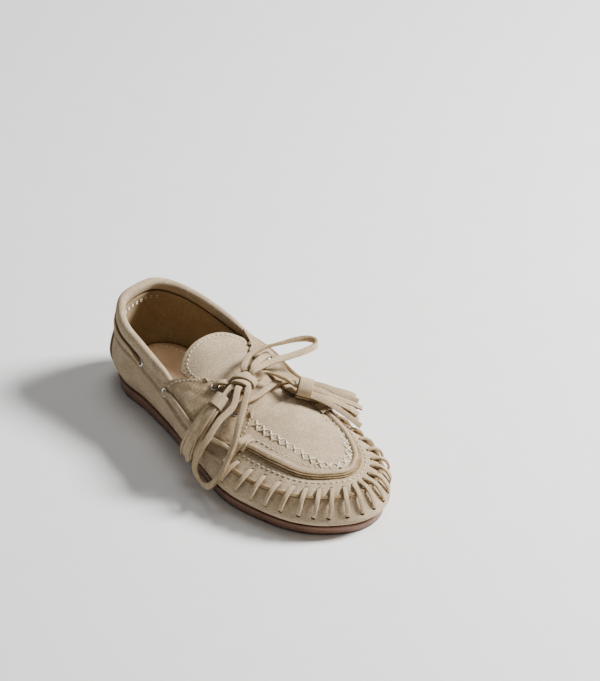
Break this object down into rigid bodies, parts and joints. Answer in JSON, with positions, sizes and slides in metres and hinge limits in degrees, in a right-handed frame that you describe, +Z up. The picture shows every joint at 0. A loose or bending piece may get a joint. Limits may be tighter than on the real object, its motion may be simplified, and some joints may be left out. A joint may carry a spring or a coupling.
{
  "type": "moccasin",
  "caption": "Right suede moccasin with a whip-stitched toe seam, raised apron, tongue, tied collar lace with a bow and tassels, on a flat rubber sole.",
  "frame": {"origin": "on the ground, at the middle of the sole's length, on the line from the middle of the heel", "axes": "+Z up, toe towards -Y, heel towards +Y, the wearer's outer side towards -X"},
  "size_m": [0.1167, 0.2534, 0.0696],
  "materials": {
    "suede": "beige suede with a fine short nap",
    "lace_suede": "flat suede lace, nap outside and browner cut edges",
    "lining_suede": "tan suede lining",
    "sock_leather": "smooth tan leather sock",
    "insole_board": "pressed fibre board",
    "rubber_sole": "satin gum-brown rubber",
    "nickel": "polished nickel-plated eyelet"
  },
  "bodies": {
    "root": {"apron": "suede", "apron_band": "suede", "apron_ridge": "suede", "apron_tie_lateral": "lace_suede", "apron_tie_medial": "lace_suede", "bow_knot": "lace_suede", "collar_binding": "suede", "collar_lace_back": "lace_suede", "collar_lace_lateral": "lace_suede", "collar_lace_medial": "lace_suede", "collar_lining": "lining_suede", "collar_panel": "suede", "eyelet_collar_lateral_front": "nickel", "eyelet_collar_lateral_rear": "nickel", "eyelet_collar_medial_front": "nickel", "eyelet_collar_medial_rear": "nickel", "eyelet_lateral_front": "nickel", "eyelet_lateral_rear": "nickel", "eyelet_medial_front": "nickel", "eyelet_medial_rear": "nickel", "facing_lateral": "suede", "facing_medial": "suede", "heel_pad": "sock_leather", "heel_patch": "suede", "insole_board": "insole_board", "lace_front_bar": "lace_suede", "lace_rear_lateral": "lace_suede", "lace_rear_medial": "lace_suede", "lower_wrap": "suede", "outsole": "rubber_sole", "sock_liner": "sock_leather", "tongue_base": "suede", "whip_stitch_01": "lace_suede", "whip_stitch_02": "lace_suede", "whip_stitch_03": "lace_suede", "whip_stitch_04": "lace_suede", "whip_stitch_05": "lace_suede", "whip_stitch_06": "lace_suede", "whip_stitch_07": "lace_suede", "whip_stitch_08": "lace_suede", "whip_stitch_09": "lace_suede", "whip_stitch_10": "lace_suede", "whip_stitch_11": "lace_suede", "whip_stitch_12": "lace_suede", "whip_stitch_13": "lace_suede", "whip_stitch_14": "lace_suede", "whip_stitch_15": "lace_suede", "whip_stitch_16": "lace_suede", "whip_stitch_17": "lace_suede", "whip_stitch_18": "lace_suede", "whip_stitch_19": "lace_suede"},
    "tongue": {"tongue_flap": "suede"},
    "outer_tassel": {"tassel_band_outer": "lace_suede", "tassel_lace_outer": "lace_suede", "tassel_fringe_outer": "lace_suede"},
    "inner_tassel": {"tassel_band_inner": "lace_suede", "tassel_lace_inner": "lace_suede", "tassel_fringe_inner": "lace_suede"},
    "outer_loop": {"bow_loop_outer": "lace_suede"},
    "inner_loop": {"bow_loop_inner": "lace_suede"}
  },
  "joints": [
    {"name": "tongue_fold", "type": "hinge", "parent": "root", "child": "tongue", "pos_m": [-0.0025, 0.03, 0.06153], "axis": [1, 0, 0], "range_deg": [0, 25]},
    {"name": "outer_tassel_swing", "type": "hinge", "parent": "root", "child": "outer_tassel", "pos_m": [-0.01643, -0.00895, 0.06205], "axis": [0, 1, 0], "range_deg": [0, 50]},
    {"name": "inner_tassel_swing", "type": "hinge", "parent": "root", "child": "inner_tassel", "pos_m": [-0.00303, -0.01188, 0.06228], "axis": [-0.4384, -0.8988, 0], "range_deg": [0, 30]},
    {"name": "outer_loop_swing", "type": "hinge", "parent": "root", "child": "outer_loop", "pos_m": [-0.01454, -0.01551, 0.06265], "axis": [-0.766, 0.6428, 0], "range_deg": [0, 45]},
    {"name": "inner_loop_swing", "type": "hinge", "parent": "root", "child": "inner_loop", "pos_m": [-0.00288, -0.00646, 0.06588], "axis": [0.3746, -0.9272, 0], "range_deg": [0, 40]}
  ]
}
